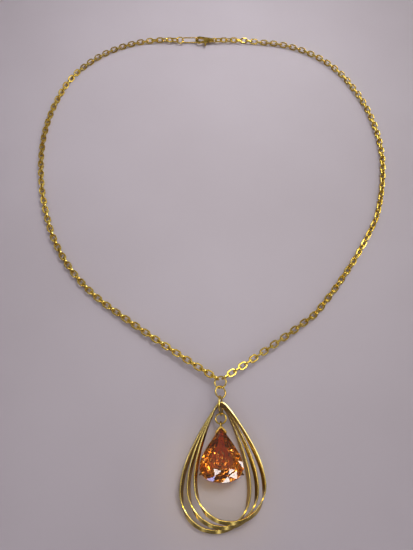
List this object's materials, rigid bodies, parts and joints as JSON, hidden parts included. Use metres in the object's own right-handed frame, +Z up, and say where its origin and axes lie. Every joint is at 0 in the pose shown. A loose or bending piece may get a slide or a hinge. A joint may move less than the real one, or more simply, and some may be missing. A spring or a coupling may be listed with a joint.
{
  "type": "pendant necklace",
  "caption": "Gold-tone cable chain necklace with a lobster clasp and a teardrop pendant of fanned ribbon loops around a hanging pear-cut amber stone.",
  "frame": {"origin": "middle of the footprint of the laid-out necklace, on the table", "axes": "+Z up from the table, +Y from the pendant to the clasp, +X to the right seen from above"},
  "size_m": [0.1368, 0.2037, 0.0064],
  "materials": {
    "chain_gold": "polished yellow-gold plate on filed links",
    "ring_gold": "polished yellow-gold plate on round wire",
    "ribbon_gold": "polished yellow-gold plate on flat strip",
    "setting_gold": "polished yellow-gold plate",
    "clasp_gold": "polished yellow-gold plate, cast",
    "spring_steel": "bare spring strip",
    "stone": "faceted amber-orange crystal"
  },
  "bodies": {
    "centre_ring": {"centre_ring": "ring_gold"},
    "hanger": {"hanger_ring": "ring_gold"},
    "frame_hanger": {"frame_ring": "ring_gold"},
    "frame": {"ribbon_left": "ribbon_gold", "ribbon_middle": "ribbon_gold", "ribbon_right": "ribbon_gold"},
    "drop_hanger": {"drop_ring": "ring_gold"},
    "drop": {"stone": "stone", "gallery": "setting_gold", "tip_prong": "setting_gold", "left_prong": "setting_gold", "right_prong": "setting_gold", "setting_loop": "setting_gold"},
    "left_run_1": {"chain_left_1": "chain_gold"},
    "left_run_2": {"chain_left_2": "chain_gold"},
    "left_run_3": {"chain_left_3": "chain_gold"},
    "left_run_4": {"chain_left_4": "chain_gold"},
    "left_run_5": {"chain_left_5": "chain_gold"},
    "left_run_6": {"chain_left_6": "chain_gold"},
    "left_run_7": {"chain_left_7": "chain_gold"},
    "left_run_8": {"chain_left_8": "chain_gold", "end_ring": "ring_gold", "eye_link": "ring_gold"},
    "right_run_1": {"chain_right_1": "chain_gold"},
    "right_run_2": {"chain_right_2": "chain_gold"},
    "right_run_3": {"chain_right_3": "chain_gold"},
    "right_run_4": {"chain_right_4": "chain_gold"},
    "right_run_5": {"chain_right_5": "chain_gold"},
    "right_run_6": {"chain_right_6": "chain_gold"},
    "right_run_7": {"chain_right_7": "chain_gold"},
    "right_run_8": {"chain_right_8": "chain_gold", "tail_ring": "ring_gold", "clasp_body": "clasp_gold", "clasp_pin": "clasp_gold", "clasp_spring": "spring_steel"},
    "lever": {"clasp_lever": "clasp_gold"}
  },
  "joints": [
    {"name": "left_bend_1", "type": "hinge", "parent": "centre_ring", "child": "left_run_1", "pos_m": [0.00159, -0.05618, 0.00258], "axis": [0, 0, 1], "range_deg": [-12, 12]},
    {"name": "left_bend_2", "type": "hinge", "parent": "left_run_1", "child": "left_run_2", "pos_m": [-0.03541, -0.03018, 0.00123], "axis": [0, 0, 1], "range_deg": [-12, 12]},
    {"name": "left_bend_3", "type": "hinge", "parent": "left_run_2", "child": "left_run_3", "pos_m": [-0.06141, 0.00682, 0.00118], "axis": [0, 0, 1], "range_deg": [-12, 12]},
    {"name": "left_bend_4", "type": "hinge", "parent": "left_run_3", "child": "left_run_4", "pos_m": [-0.06741, 0.03882, 0.00096], "axis": [0, 0, 1], "range_deg": [-12, 12]},
    {"name": "left_bend_5", "type": "hinge", "parent": "left_run_4", "child": "left_run_5", "pos_m": [-0.06741, 0.04544, 0.00096], "axis": [0, 0, 1], "range_deg": [-12, 12]},
    {"name": "left_bend_6", "type": "hinge", "parent": "left_run_5", "child": "left_run_6", "pos_m": [-0.06121, 0.07414, 0.00096], "axis": [0, 0, 1], "range_deg": [-12, 12]},
    {"name": "left_bend_7", "type": "hinge", "parent": "left_run_6", "child": "left_run_7", "pos_m": [-0.06024, 0.07612, 0.00096], "axis": [0, 0, 1], "range_deg": [-12, 12]},
    {"name": "left_bend_8", "type": "hinge", "parent": "left_run_7", "child": "left_run_8", "pos_m": [-0.02824, 0.09972, 0.00096], "axis": [0, 0, 1], "range_deg": [-12, 12]},
    {"name": "right_bend_1", "type": "hinge", "parent": "centre_ring", "child": "right_run_1", "pos_m": [0.00341, -0.05618, 0.00317], "axis": [0, 0, 1], "range_deg": [-12, 12]},
    {"name": "right_bend_2", "type": "hinge", "parent": "right_run_1", "child": "right_run_2", "pos_m": [0.03541, -0.03258, 0.00111], "axis": [0, 0, 1], "range_deg": [-12, 12]},
    {"name": "right_bend_3", "type": "hinge", "parent": "right_run_2", "child": "right_run_3", "pos_m": [0.06121, 0.00602, 0.00099], "axis": [0, 0, 1], "range_deg": [-12, 12]},
    {"name": "right_bend_4", "type": "hinge", "parent": "right_run_3", "child": "right_run_4", "pos_m": [0.06741, 0.03472, 0.00096], "axis": [0, 0, 1], "range_deg": [-12, 12]},
    {"name": "right_bend_5", "type": "hinge", "parent": "right_run_4", "child": "right_run_5", "pos_m": [0.06741, 0.03693, 0.00096], "axis": [0, 0, 1], "range_deg": [-12, 12]},
    {"name": "right_bend_6", "type": "hinge", "parent": "right_run_5", "child": "right_run_6", "pos_m": [0.06141, 0.06893, 0.00096], "axis": [0, 0, 1], "range_deg": [-12, 12]},
    {"name": "right_bend_7", "type": "hinge", "parent": "right_run_6", "child": "right_run_7", "pos_m": [0.05947, 0.07289, 0.00096], "axis": [0, 0, 1], "range_deg": [-12, 12]},
    {"name": "right_bend_8", "type": "hinge", "parent": "right_run_7", "child": "right_run_8", "pos_m": [0.02247, 0.09889, 0.00096], "axis": [0, 0, 1], "range_deg": [-12, 12]},
    {"name": "hanger_swing", "type": "hinge", "parent": "centre_ring", "child": "hanger", "pos_m": [0.0025, -0.059, 0.00288], "axis": [0, 0, 1], "range_deg": [-15, 15]},
    {"name": "pendant_swing", "type": "hinge", "parent": "hanger", "child": "frame_hanger", "pos_m": [0.0025, -0.0622, 0.00288], "axis": [0, 0, 1], "range_deg": [-15, 15]},
    {"name": "frame_lift", "type": "hinge", "parent": "frame_hanger", "child": "frame", "pos_m": [0.0025, -0.06476, 0.00288], "axis": [-1, 0, 0], "range_deg": [0, 60]},
    {"name": "drop_ring_lift", "type": "hinge", "parent": "frame_hanger", "child": "drop_hanger", "pos_m": [0.0025, -0.0674, 0.00288], "axis": [-1, 0, 0], "range_deg": [0, 20]},
    {"name": "drop_lift", "type": "hinge", "parent": "drop_hanger", "child": "drop", "pos_m": [0.0025, -0.0707, 0.00288], "axis": [-1, 0, 0], "range_deg": [0, 20]},
    {"name": "lever_pivot", "type": "hinge", "parent": "right_run_8", "child": "lever", "pos_m": [-0.00175, 0.09915, 0.00151], "axis": [0, 0, -1], "range_deg": [0, 24], "stiffness_Nm_per_rad": 0.002, "springref_deg": -11.46}
  ],
  "couplings": [
    {"joint": "left_bend_2", "follows": "left_bend_1", "ratio": -1},
    {"joint": "left_bend_4", "follows": "left_bend_3", "ratio": -1},
    {"joint": "left_bend_6", "follows": "left_bend_5", "ratio": -1},
    {"joint": "left_bend_7", "follows": "right_bend_1", "ratio": 1},
    {"joint": "left_bend_8", "follows": "right_bend_1", "ratio": -1},
    {"joint": "right_bend_2", "follows": "right_bend_1", "ratio": -1},
    {"joint": "right_bend_3", "follows": "left_bend_5", "ratio": 1},
    {"joint": "right_bend_4", "follows": "left_bend_5", "ratio": -1},
    {"joint": "right_bend_5", "follows": "left_bend_3", "ratio": 1},
    {"joint": "right_bend_6", "follows": "left_bend_3", "ratio": -1},
    {"joint": "right_bend_7", "follows": "left_bend_1", "ratio": 1},
    {"joint": "right_bend_8", "follows": "left_bend_1", "ratio": -1}
  ]
}
